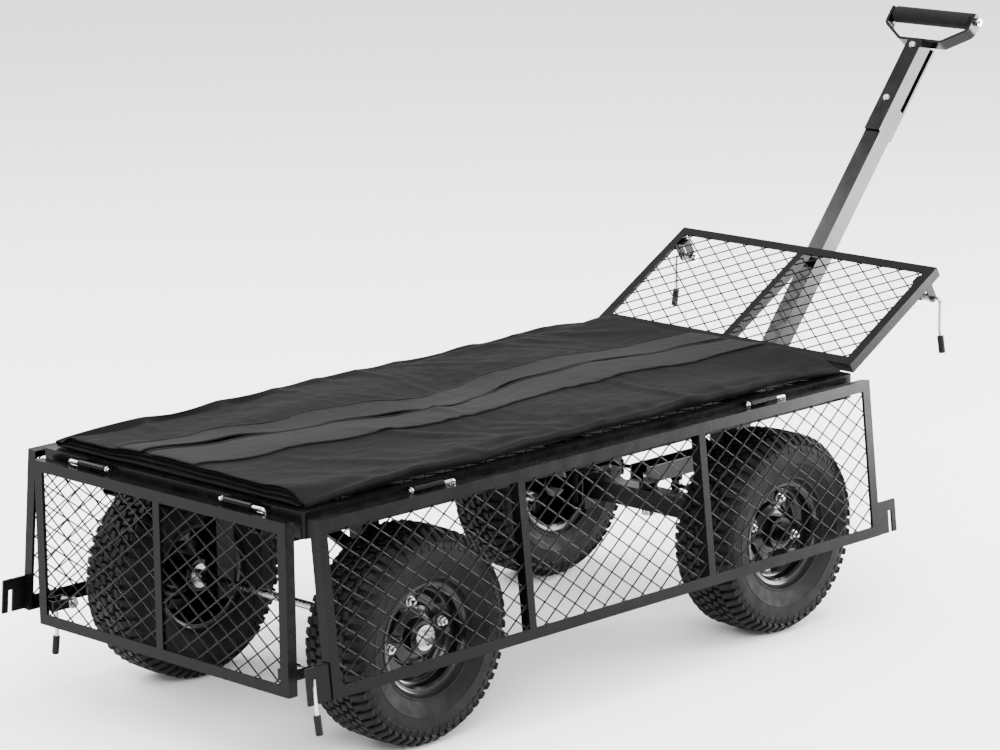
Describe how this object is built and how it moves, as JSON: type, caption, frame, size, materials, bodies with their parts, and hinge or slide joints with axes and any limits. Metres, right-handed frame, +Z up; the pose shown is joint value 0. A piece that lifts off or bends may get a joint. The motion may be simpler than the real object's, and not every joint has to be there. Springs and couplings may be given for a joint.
{
  "type": "garden cart",
  "caption": "Steel mesh garden cart with fold-down side panels, fabric liner, pneumatic turf tyres, steered front axle and a hinged handle.",
  "frame": {"origin": "bottom centre of the whole cart, on the ground", "axes": "+Z up, +Y towards the pull handle, +X to the right seen from behind"},
  "size_m": [0.8106, 2.1366, 1.0563],
  "materials": {
    "frame_black": "semi-gloss black powder coat",
    "handle_black": "gloss black paint",
    "rim_black": "gloss black enamel",
    "mesh_black": "semi-gloss black coated wire",
    "zinc": "bright zinc plate",
    "tyre_rubber": "matt black rubber",
    "grip_rubber": "matt black rubber",
    "foam": "matt closed-cell foam",
    "fabric": "black woven polyester"
  },
  "bodies": {
    "cart": {"deck_frame": "frame_black", "deck_floor_mesh": "mesh_black", "cross_members": "frame_black", "long_beams": "frame_black", "rear_axle_brackets": "frame_black", "rear_axle": "zinc", "rear_axle_fasteners": "zinc", "front_axle_beam": "frame_black", "steering_pins": "zinc", "deck_hinge_sleeves": "frame_black", "hinge_pins": "zinc", "hinge_pin_clips": "zinc", "liner": "fabric"},
    "drawbar": {"drawbar": "frame_black", "drawbar_bolts": "zinc"},
    "handle": {"handle_shaft": "handle_black", "handle_straps": "handle_black", "handle_yoke": "handle_black", "hand_grip": "foam", "grip_bolt": "zinc", "hitch_pins": "zinc"},
    "right_tie_rod": {"right_tie_rod": "frame_black"},
    "left_tie_rod": {"left_tie_rod": "frame_black"},
    "right_knuckle": {"right_knuckle": "frame_black", "right_spindle": "zinc"},
    "left_knuckle": {"left_knuckle": "frame_black", "left_spindle": "zinc"},
    "rear_panel": {"rear_panel_frame": "frame_black", "rear_panel_mesh": "mesh_black", "rear_latch_brackets": "frame_black"},
    "rear_right_wheel": {"rear_right_tyre": "tyre_rubber", "rear_right_rim": "rim_black", "rear_right_bearings": "zinc"},
    "rear_right_latch": {"rear_right_latch_lever": "zinc", "rear_right_latch_grip": "grip_rubber"},
    "rear_left_wheel": {"rear_left_tyre": "tyre_rubber", "rear_left_rim": "rim_black", "rear_left_bearings": "zinc"},
    "rear_left_latch": {"rear_left_latch_lever": "zinc", "rear_left_latch_grip": "grip_rubber"},
    "front_panel": {"front_panel_frame": "frame_black", "front_panel_mesh": "mesh_black", "front_latch_brackets": "frame_black"},
    "front_right_wheel": {"front_right_tyre": "tyre_rubber", "front_right_rim": "rim_black", "front_right_bearings": "zinc"},
    "front_right_latch": {"front_right_latch_lever": "zinc", "front_right_latch_grip": "grip_rubber"},
    "front_left_wheel": {"front_left_tyre": "tyre_rubber", "front_left_rim": "rim_black", "front_left_bearings": "zinc"},
    "front_left_latch": {"front_left_latch_lever": "zinc", "front_left_latch_grip": "grip_rubber"},
    "right_panel": {"right_panel_frame": "frame_black", "right_panel_mesh": "mesh_black", "right_hook_plates": "frame_black"},
    "left_panel": {"left_panel_frame": "frame_black", "left_panel_mesh": "mesh_black", "left_hook_plates": "frame_black"}
  },
  "joints": [
    {"name": "steer", "type": "hinge", "parent": "cart", "child": "drawbar", "pos_m": [0, 0.19047, 0.236], "axis": [0, 0, 1], "range_deg": [-7, 7]},
    {"name": "right_knuckle_turn", "type": "hinge", "parent": "cart", "child": "right_knuckle", "pos_m": [0.19, 0.19047, 0.19], "axis": [0, 0, 1], "range_deg": [-7, 7]},
    {"name": "left_knuckle_turn", "type": "hinge", "parent": "cart", "child": "left_knuckle", "pos_m": [-0.19, 0.19047, 0.19], "axis": [0, 0, 1], "range_deg": [-7, 7]},
    {"name": "right_tie_rod_turn", "type": "hinge", "parent": "drawbar", "child": "right_tie_rod", "pos_m": [0, 0.27047, 0.214], "axis": [0, 0, 1], "range_deg": [-7, 7]},
    {"name": "left_tie_rod_turn", "type": "hinge", "parent": "drawbar", "child": "left_tie_rod", "pos_m": [0, 0.27047, 0.222], "axis": [0, 0, 1], "range_deg": [-7, 7]},
    {"name": "handle_lift", "type": "hinge", "parent": "drawbar", "child": "handle", "pos_m": [0, 0.40267, 0.25], "axis": [1, 0, 0], "range_deg": [-60, 0]},
    {"name": "front_panel_fold", "type": "hinge", "parent": "cart", "child": "front_panel", "pos_m": [0, 0.40017, 0.4545], "axis": [1, 0, 0], "range_deg": [0, 60.05]},
    {"name": "rear_panel_fold", "type": "hinge", "parent": "cart", "child": "rear_panel", "pos_m": [0, -1.02283, 0.4545], "axis": [-1, 0, 0], "range_deg": [0, 180]},
    {"name": "right_panel_fold", "type": "hinge", "parent": "cart", "child": "right_panel", "pos_m": [0.3503, -0.31133, 0.457], "axis": [0, -1, 0], "range_deg": [0, 174.1]},
    {"name": "left_panel_fold", "type": "hinge", "parent": "cart", "child": "left_panel", "pos_m": [-0.3503, -0.31133, 0.457], "axis": [0, 1, 0], "range_deg": [0, 174.1]},
    {"name": "rear_right_wheel_spin", "type": "hinge", "parent": "cart", "child": "rear_right_wheel", "pos_m": [0.29, -0.73803, 0.19], "axis": [1, 0, 0], "continuous": true},
    {"name": "front_right_wheel_spin", "type": "hinge", "parent": "right_knuckle", "child": "front_right_wheel", "pos_m": [0.29, 0.19047, 0.19], "axis": [1, 0, 0], "continuous": true},
    {"name": "rear_left_wheel_spin", "type": "hinge", "parent": "cart", "child": "rear_left_wheel", "pos_m": [-0.29, -0.73803, 0.19], "axis": [1, 0, 0], "continuous": true},
    {"name": "front_left_wheel_spin", "type": "hinge", "parent": "left_knuckle", "child": "front_left_wheel", "pos_m": [-0.29, 0.19047, 0.19], "axis": [1, 0, 0], "continuous": true},
    {"name": "rear_right_latch_swing", "type": "hinge", "parent": "rear_panel", "child": "rear_right_latch", "pos_m": [0.3395, -0.99493, 0.1841], "axis": [1, 0, 0], "range_deg": [-120, 30]},
    {"name": "rear_left_latch_swing", "type": "hinge", "parent": "rear_panel", "child": "rear_left_latch", "pos_m": [-0.3395, -0.99493, 0.1841], "axis": [1, 0, 0], "range_deg": [-120, 30]},
    {"name": "front_right_latch_swing", "type": "hinge", "parent": "front_panel", "child": "front_right_latch", "pos_m": [0.3395, 0.6484, 0.56531], "axis": [1, 0, 0], "range_deg": [-120, 120]},
    {"name": "front_left_latch_swing", "type": "hinge", "parent": "front_panel", "child": "front_left_latch", "pos_m": [-0.3395, 0.6484, 0.56531], "axis": [1, 0, 0], "range_deg": [-120, 120]}
  ],
  "couplings": [
    {"joint": "right_knuckle_turn", "follows": "steer", "ratio": 1},
    {"joint": "left_knuckle_turn", "follows": "steer", "ratio": 1},
    {"joint": "right_tie_rod_turn", "follows": "steer", "ratio": -1},
    {"joint": "left_tie_rod_turn", "follows": "steer", "ratio": -1}
  ]
}
